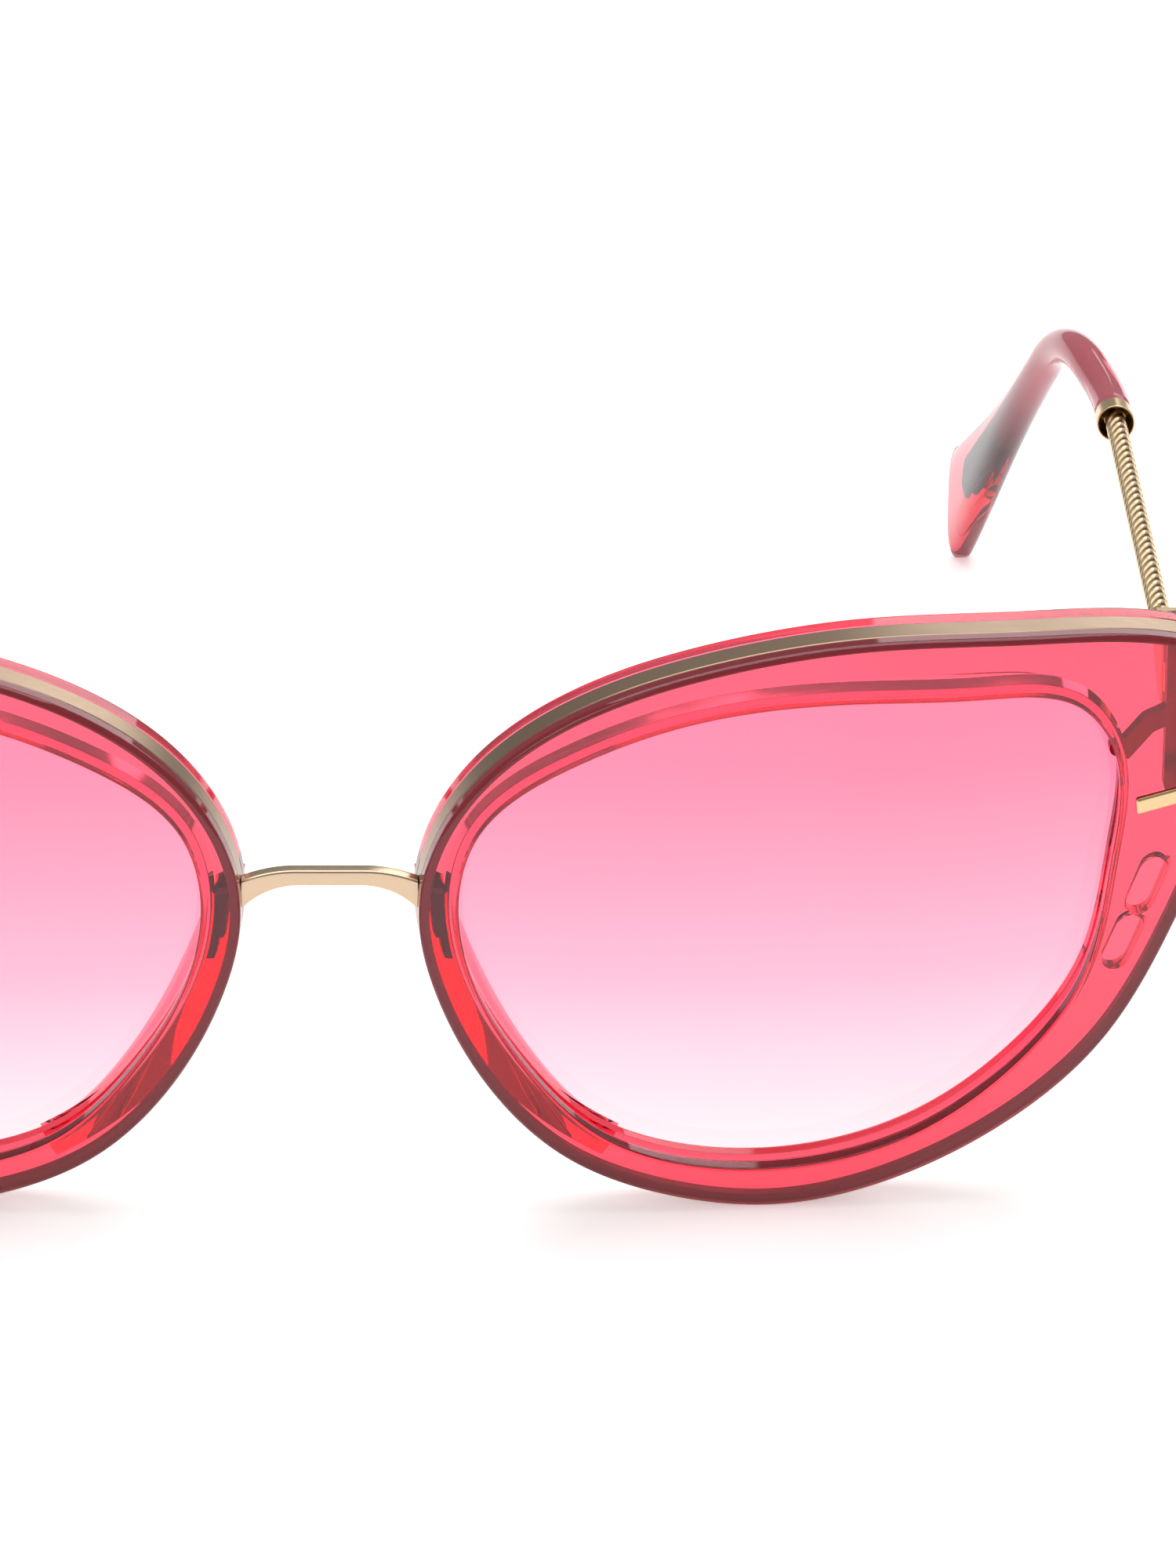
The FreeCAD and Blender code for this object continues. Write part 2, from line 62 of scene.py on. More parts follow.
def makeCamera():
    data = bpy.data.cameras.new("camera")
    data.lens = camera["lens"]
    data.clip_start, data.clip_end = 0.05, 20
    cam = bpy.data.objects.new("camera", data)
    bpy.context.scene.collection.objects.link(cam)
    lift = math.radians(camera["height"])
    back = Vector((0, -math.cos(lift), math.sin(lift))) * camera["distance"]
    turn = Euler((math.pi / 2 - lift, 0, 0)).to_matrix()
    turn = turn @ Matrix.Rotation(-math.radians(camera["aside"]), 3, "Y")
    place = (Vector(camera["target"]) + back) * mm
    cam.matrix_world = Matrix.Translation(place) @ turn.to_4x4()
    bpy.context.scene.camera = cam


studio = {
    "floorSize": 6.0,             # metres
    "ambient": 0.34,
    "floorGlow": 0.42,            # the floor is a lit table, which keeps the shadows pale
    # softboxes: name, place, size in metres, strength in watts
    "lamps": [
        ("topBox", (0.0, 0.2, 1.3), (1.5, 1.2), 14.0),
        ("frontBox", (-0.9, -1.1, 0.9), (0.7, 0.9), 3.0),
        ("backBox", (0.7, 1.2, 0.8), (1.2, 0.6), 5.0),
    ],
}


def makeLamps():
    for name, place, size, watts in studio["lamps"]:
        data = bpy.data.lights.new(name, "AREA")
        data.shape = "RECTANGLE"
        data.size, data.size_y = size
        data.energy = watts
        lamp = bpy.data.objects.new(name, data)
        lamp.location = place
        lamp.rotation_euler = (-Vector(place)).to_track_quat("-Z", "Y").to_euler()
        bpy.context.scene.collection.objects.link(lamp)
    world = bpy.data.worlds.new("studioWorld")
    world.use_nodes = True
    sky = world.node_tree.nodes["Background"]
    sky.inputs["Color"].default_value = (1, 1, 1, 1)
    sky.inputs["Strength"].default_value = studio["ambient"]
    bpy.context.scene.world = world


class Flow:
    # a shader socket that can stand in a sum or a product: every operator adds one Math node
    def __init__(self, shader, socket):
        self.shader, self.socket = shader, socket

    def maths(self, operation, first, second):
        return self.shader.node("Math", {"operation": operation}, {0: first, 1: second})

    def __add__(self, other):
        return self.maths("ADD", self, other)

    def __radd__(self, other):
        return self.maths("ADD", other, self)

    def __rsub__(self, other):
        return self.maths("SUBTRACT", other, self)

    def __mul__(self, other):
        return self.maths("MULTIPLY", self, other)

    def __rmul__(self, other):
        return self.maths("MULTIPLY", other, self)


class Shader:
    # one material's node tree, with a single way to add any node
    def __init__(self, name):
        self.material = bpy.data.materials.new(name)
        self.material.use_nodes = True
        self.tree = self.material.node_tree
        self.surface = self.tree.nodes["Principled BSDF"]
        self.output = self.tree.nodes["Material Output"]

    def fill(self, node, sockets):
        for key, value in sockets.items():
            if isinstance(value, Flow):
                self.tree.links.new(value.socket, node.inputs[key])
            else:
                node.inputs[key].default_value = value

    def node(self, kind, settings=None, sockets=None, out=0):
        node = self.tree.nodes.new("ShaderNode" + kind)
        for key, value in (settings or {}).items():
            if key == "stops":
                ramp = node.color_ramp.elements
                while len(ramp) < len(value):
                    ramp.new(0.5)
                for element, (place, colour) in zip(ramp, value):
                    element.position = place
                    element.color = colour + (1,)
            else:
                setattr(node, key, value)
        self.fill(node, sockets or {})
        return Flow(self, node.outputs[out])

    def places(self):
        return self.node("TexCoord", out="Object")

    def noise(self, scale, detail=2.0, stretch=(1, 1, 1)):
        spread = self.node("Mapping", {}, {"Vector": self.places(), "Scale": stretch})
        return self.node("TexNoise", {}, {"Vector": spread, "Scale": scale, "Detail": detail})

    def mix(self, amount, first, second):
        # a blend of two colours; amount is a number or a Flow
        node = self.tree.nodes.new("ShaderNodeMix")
        node.data_type = "RGBA"
        for key, value in ((0, amount), (6, first), (7, second)):
            if isinstance(value, Flow):
                self.tree.links.new(value.socket, node.inputs[key])
            else:
                node.inputs[key].default_value = value + (1,) if isinstance(value, tuple) else value
        return Flow(self, node.outputs[2])

    def bump(self, height, strength, distance):
        return self.node("Bump", {}, {"Height": height, "Strength": strength, "Distance": distance})

    def absorb(self, colour, density):
        node = self.tree.nodes.new("ShaderNodeVolumeAbsorption")
        node.inputs["Color"].default_value = colour + (1,)
        node.inputs["Density"].default_value = density
        self.tree.links.new(node.outputs[0], self.output.inputs["Volume"])


acetate = {
    "tint": (1.0, 0.27, 0.38),
    "deep": (0.97, 0.20, 0.27),     # painted shade: the darker tint towards the bottom of the rims, also the colour of the random clouds
    "absorbs": (1.0, 0.12, 0.30),
    "density": 270.0,
    "glass": 0.97,
    "roughness": 0.03, "wiped": 0.03,
    "cloudScale": 60.0, "cloudShare": 0.10,
    "wipeScale": 900.0, "wipeStretch": (0.2, 1.0, 1.0),
    "waveScale": 170.0, "waveStrength": 0.25, "waveHeight": 0.00004,
    "ior": 1.49,
    "gloss": 0.5,
    "high": 0.045,                  # metres above the floor where the painted shade has gone
}


# the tips' painted shade is darker still: nearly black red low in the blade
tipAcetate = dict(acetate, tint=(0.95, 0.50, 0.56), deep=(0.55, 0.03, 0.06), density=230.0, high=0.026,
                  gloss=0.2, ior=1.3)


def acetateMaterial(name, spec):
    # clear dyed plastic: a polished skin over colour that deepens with thickness, with painted shade that
    # darkens the tint towards the floor
    s = Shader(name)
    height = s.node("SeparateXYZ", {}, {0: s.places()}, out=2)
    low = s.node("MapRange", {}, {0: height, 1: 0.0, 2: spec["high"], 3: 1.0, 4: 0.0})
    clouds = s.noise(spec["cloudScale"], 3.0)
    # painted shade: the tint turns to the deep colour towards the floor
    tint = s.mix(low, spec["tint"], spec["deep"])
    tint = s.mix(clouds * spec["cloudShare"], tint, spec["deep"])
    wipes = s.noise(spec["wipeScale"], 4.0, spec["wipeStretch"])
    wave = s.bump(s.noise(spec["waveScale"], 1.0), spec["waveStrength"], spec["waveHeight"])
    s.fill(s.surface, {
        "Base Color": tint,
        "Roughness": spec["roughness"] + spec["wiped"] * wipes,
        "Normal": wave,
        "IOR": spec["ior"],
        "Specular IOR Level": spec["gloss"],
        "Transmission Weight": spec["glass"],
    })
    s.absorb(spec["absorbs"], spec["density"])
    return s.material


lensGlass = {
    # height above the floor in mm, and the tint there
    "stops": [(3, (1.0, 0.80, 0.83)), (8, (1.0, 0.69, 0.73)), (15, (1.0, 0.54, 0.64)),
              (21.5, (1.0, 0.395, 0.52)), (30, (1.0, 0.29, 0.415)), (39, (1.0, 0.203, 0.325)),
              (46, (1.0, 0.178, 0.30))],
    "top": 50.0,
    "roughness": 0.004, "smeared": 0.008, "smearScale": 140.0,
    "ior": 1.5,
}


def lensMaterial():
    # a dyed lens: deep rose above, fading to clear below
    s = Shader("tintedLens")
    height = s.node("SeparateXYZ", {}, {0: s.places()}, out=2)
    share = height * (1 / (lensGlass["top"] * mm))
    stops = [(z / lensGlass["top"], colour) for z, colour in lensGlass["stops"]]
    tint = s.node("ValToRGB", {"stops": stops}, {0: share})
    smears = s.noise(lensGlass["smearScale"], 2.0)
    s.fill(s.surface, {
        "Base Color": tint,
        "Roughness": lensGlass["roughness"] + lensGlass["smeared"] * smears,
        "IOR": lensGlass["ior"],
        "Transmission Weight": 1.0,
    })
    return s.material


metals = {
    "goldMetal": {"colour": (0.76, 0.55, 0.31), "shade": (0.60, 0.40, 0.19),
        "roughness": 0.20, "grain": 1800.0},
    "bridgeMetal": {"colour": (0.66, 0.50, 0.35), "shade": (0.52, 0.37, 0.24),
        "roughness": 0.22, "grain": 1800.0},
    # painted shade: the hinge steel is dark red, standing in for the bracket in shade behind the acetate
    "shadedHingeSteel": {"colour": (0.26, 0.13, 0.12), "shade": (0.15, 0.08, 0.07),
        "roughness": 0.32, "grain": 2400.0},
    "darkSteel": {"colour": (0.08, 0.05, 0.05), "shade": (0.04, 0.02, 0.02),
        "roughness": 0.35, "grain": 2400.0},
}
brushed = {
    "patchScale": 220.0, "wear": 0.25, "fleck": 0.1, "dulled": 0.12,
    "stretch": (0.15, 1.0, 1.0), "strength": 0.15, "height": 0.00001,
}


def metalMaterial(name):
    # plated metal: a fine brushed grain, duller patches and a little tarnish
    spec = metals[name]
    s = Shader(name)
    patches = s.noise(brushed["patchScale"], 3.0)
    fine = s.noise(spec["grain"], 2.0, brushed["stretch"])
    tarnish = patches * brushed["wear"] + fine * brushed["fleck"]
    s.fill(s.surface, {
        "Base Color": s.mix(tarnish, spec["colour"], spec["shade"]),
        "Metallic": 1.0,
        "Roughness": spec["roughness"] + brushed["dulled"] * patches * fine,
        "Normal": s.bump(fine, brushed["strength"], brushed["height"]),
    })
    return s.material


def chainMaterial():
    # gold wire, with painted shade: nearly black where the strands dive between each other
    s = Shader("goldChain")
    relief = s.node("Attribute", {"attribute_name": "relief"}, out="Fac")
    seam = s.node("MapRange", {}, {0: relief, 1: 0.25, 2: 0.8, 3: 0.0, 4: 1.0})
    fine = s.noise(2500.0, 2.0)
    bright = s.mix(fine * 0.3, (0.88, 0.68, 0.42), (0.74, 0.52, 0.27))
    s.fill(s.surface, {
        # painted shade in the gaps between the links, where seam is low
        "Base Color": s.mix(seam, (0.10, 0.05, 0.02), bright),
        "Metallic": 1.0,
        "Roughness": 0.42 - 0.16 * seam + 0.08 * fine,
    })
    return s.material


def trimMaterial():
    # gold darkened to olive where the inlay shows, painted shade for the dim surroundings it reflects;
    # painted shade in dark red on the faces inside the rim
    s = Shader("trimMetal")
    shown = s.node("Attribute", {"attribute_name": "relief"}, out="Fac")
    fine = s.noise(1800.0, 2.0, (0.15, 1.0, 1.0))
    bright = s.mix(fine * 0.4, (0.38, 0.275, 0.19), (0.26, 0.18, 0.12))
    s.fill(s.surface, {
        # painted shade: dark red on the inside faces, where shown is 0
        "Base Color": s.mix(shown, (0.28, 0.075, 0.07), bright),
        "Metallic": shown,
        "Roughness": 0.40 - 0.12 * shown + 0.06 * fine,
    })
    return s.material


def coreMaterial():
    # the wire is rosy higher up, where it is thin, and painted nearly black lower down in the blade:
    # painted shade
    s = Shader("coreWire")
    height = s.node("SeparateXYZ", {}, {0: s.places()}, out=2)
    high = s.node("MapRange", {}, {0: height, 1: 0.018, 2: 0.032, 3: 0.0, 4: 1.0})
    fine = s.noise(900.0, 2.0, (1.0, 0.2, 1.0))
    rosy = s.mix(fine * 0.5, (0.62, 0.46, 0.46), (0.40, 0.24, 0.25))
    s.fill(s.surface, {
        # painted shade: nearly black below 18 mm, in the blade
        "Base Color": s.mix(high, (0.025, 0.008, 0.01), rosy),
        "Roughness": 0.45 + 0.1 * fine,
        "Specular IOR Level": 0.1,
    })
    return s.material


def floorMaterial():
    s = Shader("paleFloor")
    s.fill(s.surface, {
        "Base Color": s.mix(s.noise(3.0, 2.0), (0.93, 0.93, 0.93), (0.95, 0.95, 0.95)),
        "Roughness": 0.6,
        "Specular IOR Level": 0.2,
        "Emission Color": (1, 1, 1, 1),
        "Emission Strength": studio["floorGlow"],
    })
    return s.material


def gridMesh(name, grid, looped=False, values=None, sharp=40):
    # rows of closed rings joined by quads; the first and last ring close on a pole or on each other
    rows, cols = grid.shape[:2]
    points = grid.reshape(-1, 3)
    index = np.arange(rows * cols).reshape(rows, cols)
    if looped:
        index = np.vstack([index, index[:1]])
    beside = np.roll(index, -1, axis=1)
    quads = np.stack([index[:-1], index[1:], beside[1:], beside[:-1]], axis=-1).reshape(-1, 4)
    tris = np.zeros((0, 3), int)
    if not looped:
        poles = grid[[0, -1]].mean(axis=1)
        first, last = len(points), len(points) + 1
        points = np.vstack([points, poles])
        start = np.stack([np.full(cols, first), index[0], beside[0]], axis=-1)
        end = np.stack([np.full(cols, last), beside[-1], index[-1]], axis=-1)
        tris = np.vstack([start, end])
    # turned round where the enclosed volume comes out negative, so that faces point outwards
    corners = np.vstack([quads[:, :3], quads[:, [0, 2, 3]], tris])
    a, b, c = (points[corners[:, k]] for k in range(3))
    if (a * np.cross(b, c)).sum() < 0:
        quads, tris = quads[:, ::-1], tris[:, ::-1]
    mesh = bpy.data.meshes.new(name)
    mesh.from_pydata(points * mm, [], quads.tolist() + tris.tolist())
    mesh.polygons.foreach_set("use_smooth", np.ones(len(mesh.polygons), bool))
    mesh.set_sharp_from_angle(angle=math.radians(sharp))
    if values is not None:
        relief = np.concatenate([values.ravel(), np.zeros(len(points) - values.size)])
        mesh.attributes.new("relief", "FLOAT", "POINT").data.foreach_set("value", relief)
    return mesh


def place(name, mesh, material, body, slotName, *nodes):
    piece = bpy.data.objects.new(name, mesh)
    bpy.context.scene.collection.objects.link(piece)
    mesh.materials.append(material)
    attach(piece, body)
    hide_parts(*nodes)
    return piece


def mirrored(grid, side):
    return grid * np.array([side, 1, 1])


def roundCorner(corner, coming, going, radius, steps):
    # a quarter circle that meets the two edges of a corner, with a point on each edge to hold it flat
    corner, coming, going = (np.array(v, float) for v in (corner, coming, going))
    turn = np.linspace(0, math.pi / 2, steps)[:, None]
    arc = corner - coming * radius * (1 - np.sin(turn)) + going * radius * (1 - np.cos(turn))
    hold = radius + 0.04
    return np.vstack([corner - coming * hold, arc, corner + going * hold])


front = {
    "baseRadius": 115.0,
    "wrap": 5.0,
    "lean": 5.0,
    "thickness": 4.8,
    "middle": (1.0, 1.5),
    "rim": [
        (-29.6, 3.5), (-28.1, -4.8), (-24.0, -13.0), (-17.6, -19.8), (-9.6, -23.4),
        (-0.5, -24.6), (8.5, -22.6), (17.2, -18.1), (24.7, -11.4), (30.0, -2.0),
        (33.7, 7.0), (35.6, 14.5), (34.6, 20.6), (29.5, 23.5), (17.9, 25.2),
        (5.4, 25.8), (-6.9, 24.2), (-17.6, 20.3), (-25.6, 13.7),
    ],
    "aperture": [
        (-26.5, 4.7), (-24.8, -4.3), (-21.0, -10.9), (-15.2, -17.2), (-7.5, -20.2),
        (1.0, -20.5), (10.0, -17.9), (17.4, -12.5), (22.8, -5.1), (25.0, 5.5),
        (25.2, 14.5), (22.3, 18.9), (14.1, 20.6), (4.0, 21.1), (-7.5, 20.1),
        (-17.8, 16.2), (-24.9, 10.2),
    ],
}


def closedSpline(points, count):
    # the periodic cubic through the points, its knots a chord apart: places and headings
    p = np.array(points, float)
    after = np.roll(p, -1, axis=0)
    h = np.linalg.norm(after - p, axis=1)
    slope = (after - p) / h[:, None]
    n = len(p)
    i = np.arange(n)
    system = np.zeros((n, n))
    system[i, i - 1] = h[i - 1]
    system[i, i] = 2 * (h[i - 1] + h)
    system[i, (i + 1) % n] = h
    bend = np.linalg.solve(system, 6 * (slope - np.roll(slope, 1, axis=0)))
    knots = np.concatenate([[0], np.cumsum(h)])
    t = np.linspace(0, knots[-1], count, endpoint=False)
    k = np.searchsorted(knots, t, side="right") - 1
    span = h[k][:, None]
    b = (t - knots[k])[:, None] / span
    a = 1 - b
    here, there = bend[k], bend[(k + 1) % n]
    where = a * p[k] + b * after[k] + ((a ** 3 - a) * here + (b ** 3 - b) * there) * span ** 2 / 6
    heading = slope[k] + ((1 - 3 * a ** 2) * here + (3 * b ** 2 - 1) * there) * span / 6
    return where, heading / np.linalg.norm(heading, axis=1)[:, None]


def outline(points, count):
    # where rays at even angles from the middle meet the outline, and the outward normals there
    where, heading = closedSpline(points, 4000)
    out = np.stack([heading[:, 1], -heading[:, 0]], axis=1)
    ray = where - np.array(front["middle"])
    angle = np.arctan2(ray[:, 1], ray[:, 0])
    wanted = np.linspace(-math.pi, math.pi, count, endpoint=False)
    columns = [np.interp(wanted, angle, column, period=2 * math.pi) for column in (*where.T, *out.T)]
    found = np.stack(columns, axis=1)
    return found[:, :2], found[:, 2:]


leanTurn = Matrix.Rotation(math.radians(front["lean"]), 3, "X")
wrapTurn = Matrix.Rotation(math.radians(front["wrap"]), 3, "Z")
eyeTurn = np.array(leanTurn @ wrapTurn)


def behind(u, v, depth):
    # the ball that the front lies on: y = R - sqrt((R - depth)^2 - u^2 - v^2)
    radius = front["baseRadius"]
    return radius - np.sqrt((radius - depth) ** 2 - u ** 2 - v ** 2)


def fromEye(u, y, v, shift=(0, 0, 0)):
    return np.stack(np.broadcast_arrays(u, y, v), axis=-1) @ eyeTurn.T + shift


def findEyeShift():
    # the eye stands where the rim's lowest corner is the lowest corner of its CAD box
    edges = []
    for points in (front["rim"], front["aperture"]):
        where = closedSpline(points, 800)[0]
        for depth in (0.0, front["thickness"]):
            u, v = where.T
            edges.append(fromEye(u, behind(u, v, depth), v))
    return np.array(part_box("left_rim")[0]) / mm - np.vstack(edges).min(axis=0)


eyeShift = findEyeShift()


def onFront(u, v, depth):
    return fromEye(u, behind(u, v, depth), v, eyeShift)


columns = 480
rimAt, rimOut = outline(front["rim"], columns)
apertureAt, apertureOut = outline(front["aperture"], columns)


def ringSurface(profile):
    # profile rows are (share, distance, depth): share 0 is the rim's edge and 1 the aperture's,
    # and distance goes into the plastic from whichever edge the share is nearer
    share, distance, depth = (column[:, None] for column in np.array(profile, float).T)
    places = []
    for k in range(2):
        fromRim = rimAt[:, k] - rimOut[:, k] * distance
        fromAperture = apertureAt[:, k] + apertureOut[:, k] * distance
        places.append(fromRim * (1 - share) + fromAperture * share)
    u, v = places
    return onFront(u, v, depth)


rim = {
    "frontEdge": 0.40,
    "lensEdge": 0.30,
    "backEdge": 0.50,
    "grooveEdge": 0.06,
    "faceRows": (0.2, 0.4, 0.6, 0.8),
    "trimInset": 1.2, "trimWidth": 2.0, "trimDepth": 1.0,
    "seat": 0.02,                 # how much tighter the trim's groove is than the trim
    "lensInset": 1.4, "lensThickness": 2.0, "lensGroove": 0.6, "lensPlay": 0.03,
}


def rimProfile():
    # once round the section: front face, aperture with the lens groove, back face, trim groove
    thick = front["thickness"]
    trimFront = rim["trimInset"] + rim["seat"]
    trimBack = rim["trimInset"] + rim["trimWidth"] - rim["seat"]
    trimFloor = rim["trimDepth"] - rim["seat"]
    lensFront = rim["lensInset"] - rim["lensPlay"]
    lensBack = rim["lensInset"] + rim["lensThickness"] + rim["lensPlay"]
    lensFloor = rim["lensGroove"] + rim["lensPlay"]
    deeper, shallower, inward, outward = (0, 1), (0, -1), (1, 0), (-1, 0)
    small = rim["grooveEdge"]
    corners = [
        (0, (0, 0), shallower, inward, rim["frontEdge"], 7),
        (1, (0, 0), outward, deeper, rim["lensEdge"], 6),
        (1, (0, lensFront), deeper, inward, small, 3),
        (1, (lensFloor, lensFront), inward, deeper, small, 2),
        (1, (lensFloor, lensBack), deeper, outward, small, 2),
        (1, (0, lensBack), outward, deeper, small, 3),
        (1, (0, thick), deeper, inward, rim["backEdge"], 7),
        (0, (0, thick), outward, shallower, rim["backEdge"], 7),
        (0, (0, trimBack), shallower, inward, small, 3),
        (0, (trimFloor, trimBack), inward, shallower, small, 2),
        (0, (trimFloor, trimFront), shallower, outward, small, 2),
        (0, (0, trimFront), outward, shallower, small, 3),
    ]
    rows = []
    for number, (share, corner, coming, going, radius, steps) in enumerate(corners):
        arc = roundCorner(corner, coming, going, radius, steps)
        rows += [(share, distance, depth) for distance, depth in arc]
        following = corners[(number + 1) % len(corners)]
        if following[0] != share:
            between = rim["faceRows"]
            depth = corner[1]
            reach = radius + (following[4] - radius) * np.array(between)
            rows += [(abs(share - s), d, depth) for s, d in zip(between, reach)]
    return rows


pockets = {
    "ends": [((28.5, 2.9), (27.5, 0.4)), ((26.7, -1.9), (25.7, -4.3))],
    "width": 2.3, "depth": 1.4,
    "beyond": 1,                  # how far the cutter runs out behind the rim
    "columns": 48,
}


def pocketSurface(start, end):
    # a slot with round ends that runs out through the rim's back
    start, end = np.array(start), np.array(end)
    along = (end - start) / np.linalg.norm(end - start)
    across = np.array([-along[1], along[0]])
    angle = np.linspace(0, 2 * math.pi, pockets["columns"], endpoint=False)
    middle = np.where(np.cos(angle)[:, None] > 0, end, start)
    spoke = np.cos(angle)[:, None] * along + np.sin(angle)[:, None] * across
    ring = middle + pockets["width"] / 2 * spoke
    depth = np.array([[front["thickness"] - pockets["depth"]], [front["thickness"] + pockets["beyond"]]])
    return onFront(ring[None, :, 0], ring[None, :, 1], depth)


def cutAway(mesh, cutters):
    # the mesh with the cutters' room taken out
    blank = bpy.data.objects.new("blank", mesh)
    bpy.context.scene.collection.objects.link(blank)
    tools = []
    for cutter in cutters:
        tool = bpy.data.objects.new("cutter", cutter)
        bpy.context.scene.collection.objects.link(tool)
        step = blank.modifiers.new("cut", "BOOLEAN")
        step.operation, step.object, step.solver = "DIFFERENCE", tool, "EXACT"
        tools.append(tool)
    cut = bpy.data.meshes.new_from_object(blank.evaluated_get(bpy.context.evaluated_depsgraph_get()))
    for spare in [blank] + tools:
        bpy.data.objects.remove(spare)
    cut.name = mesh.name + "Cut"
    return cut


def makeRims(material):
    surface = ringSurface(rimProfile())
    slots = [pocketSurface(*ends) for ends in pockets["ends"]]
    for name, side in sideNames.items():
        whole = gridMesh(name + "Rim", mirrored(surface, side), looped=True)
        cutters = [gridMesh("pocket", mirrored(slot, side)) for slot in slots]
        mesh = cutAway(whole, cutters)
        place(name + "Rim", mesh, material, "front", "rose_acetate", name + "_rim")


trim = {"edge": 0.14, "innerEdge": 0.05}


def makeTrims(material):
    low, high = rim["trimInset"], rim["trimInset"] + rim["trimWidth"]
    deep = rim["trimDepth"]
    corners = [
        ((0, low), (0, -1), (1, 0), trim["edge"], 5),
        ((deep, low), (1, 0), (0, 1), trim["innerEdge"], 3),
        ((deep, high), (0, 1), (-1, 0), trim["innerEdge"], 3),
        ((0, high), (-1, 0), (0, -1), trim["edge"], 5),
    ]
    rows = [(0, d, depth) for corner in corners for d, depth in roundCorner(*corner)]
    surface = ringSurface(rows)
    # 1 on the outer face; the faces inside get painted shade in the material
    shown = np.array([row[1] < trim["edge"] for row in rows], float)
    values = np.repeat(shown, columns)
    for name, side in sideNames.items():
        mesh = gridMesh(name + "Trim", mirrored(surface, side), looped=True, values=values)
        place(name + "Trim", mesh, material, "front", "gold_metal", name + "_rim_trim")


lens = {"edge": 0.25, "rows": 16, "innermost": 0.06, "outermost": 0.985}


def makeLenses(material):
    # two balls joined by a bevelled edge that sits in the rim's groove
    frontDepth, backDepth = rim["lensInset"], rim["lensInset"] + rim["lensThickness"]
    inner = np.linspace(lens["innermost"], lens["outermost"], lens["rows"])
    edge = rim["lensGroove"]
    bevel = [(edge - lens["edge"], frontDepth), (edge, frontDepth + lens["edge"]),
             (edge, backDepth - lens["edge"]), (edge - lens["edge"], backDepth)]
    rows = [(s, 0.0, frontDepth) for s in inner]
    rows += [(1.0, out, depth) for out, depth in bevel]
    rows += [(s, 0.0, backDepth) for s in inner[::-1]]
    share, out, depth = (column[:, None] for column in np.array(rows).T)
    middle = front["middle"]
    u, v = (middle[k] + (apertureAt[:, k] - middle[k]) * share + apertureOut[:, k] * out for k in range(2))
    surface = onFront(u, v, depth)
    for name, side in sideNames.items():
        mesh = gridMesh(name + "Lens", mirrored(surface, side), sharp=30)
        place(name + "Lens", mesh, material, "front", "tinted_lens", name + "_lens")


nosePad = {
    "line": [(-28.3, 5.2), (-27.2, -2.0), (-24.9, -8.2), (-20.4, -14.4), (-13.5, -19.6)],
    "height": 5.6, "lean": 1.6,
    "rootWidth": 2.5, "rearWidth": 0.9,
    "skew": 0.7, "fullness": 1.1,
    "facetCut": 0.35, "facetShare": 0.45,
    "gap": 0.03,                  # the film of air over the rim's back
    "endMargin": 0.012,           # share of the line left out at each end
    "rows": 120, "columns": 64, "squareness": 3.0,
}


def padLine(share):
    # the polynomial through the line's points against the length of chord, and its heading
    points = np.array(nosePad["line"])
    chord = np.concatenate([[0], np.cumsum(np.linalg.norm(np.diff(points, axis=0), axis=1))])
    curves = [np.polyfit(chord / chord[-1], column, len(points) - 1) for column in points.T]
    middle = np.stack([np.polyval(curve, share) for curve in curves], axis=-1)
    heading = np.stack([np.polyval(np.polyder(curve), share) for curve in curves], axis=-1)
    return middle, heading / np.linalg.norm(heading, axis=-1)[..., None]


def makeNosePads(material):
    # wedges that stand on the rim's back, H sin(pi t^skew)^fullness high, leaning towards the lens
    thick = front["thickness"]
    share = np.linspace(nosePad["endMargin"], 1 - nosePad["endMargin"], nosePad["rows"])
    middle, heading = padLine(share)
    toLens = np.stack([-heading[:, 1], heading[:, 0]], axis=-1)
    height = nosePad["height"] * np.sin(math.pi * share ** nosePad["skew"]) ** nosePad["fullness"]
    lean = nosePad["lean"] * height / nosePad["height"]
    angle = np.linspace(0, 2 * math.pi, nosePad["columns"], endpoint=False)
    power = 2 / nosePad["squareness"]
    x = np.sign(np.cos(angle)) * np.abs(np.cos(angle)) ** power
    z = np.sign(np.sin(angle)) * np.abs(np.sin(angle)) ** power
    rise = np.maximum(z, 0)
    halfWidth = (nosePad["rootWidth"] + (nosePad["rearWidth"] - nosePad["rootWidth"]) * rise) / 2
    across = np.where(z < 0, np.sign(x), x) * halfWidth + lean[:, None] * rise
    across = np.where(z < 0, across * (1 + z), across)
    u, v = (middle[:, k, None] + toLens[:, k, None] * across for k in range(2))
    y = behind(u, v, thick + nosePad["gap"]) + height[:, None] * rise
    points = np.stack([u, y, v], axis=-1)
    # the nose face is shaved flat where it stands proud of a plane through its middle
    at, down = padLine(nosePad["facetShare"])
    side = np.array([-down[1], 0, down[0]])
    down = np.array([down[0], 0, down[1]])
    root = np.array([at[0], behind(*at, thick), at[1]]) - side * nosePad["rootWidth"] / 2
    tall = np.array([0, nosePad["height"], 0])
    rear = root + side * (nosePad["rootWidth"] / 2 + nosePad["lean"] - nosePad["rearWidth"] / 2) + tall
    facing = np.cross(down, rear - root)
    facing *= -np.sign(facing @ side) / np.linalg.norm(facing)
    proud = np.maximum((points - root) @ facing + nosePad["facetCut"], 0)
    surface = (points - proud[..., None] * facing) @ eyeTurn.T + eyeShift
    for name, side in sideNames.items():
        mesh = gridMesh(name + "NosePad", mirrored(surface, side), sharp=50)
        place(name + "NosePad", mesh, material, "front", "rose_acetate", name + "_nose_pad")


bridge = {
    "height": 1.3, "depth": 1.3,
    "shoulder": 4.2, "fall": 0.85,
    "archLength": 4.5, "archRadius": 6.0,
    "edge": 0.22,
    "steps": 60,
}


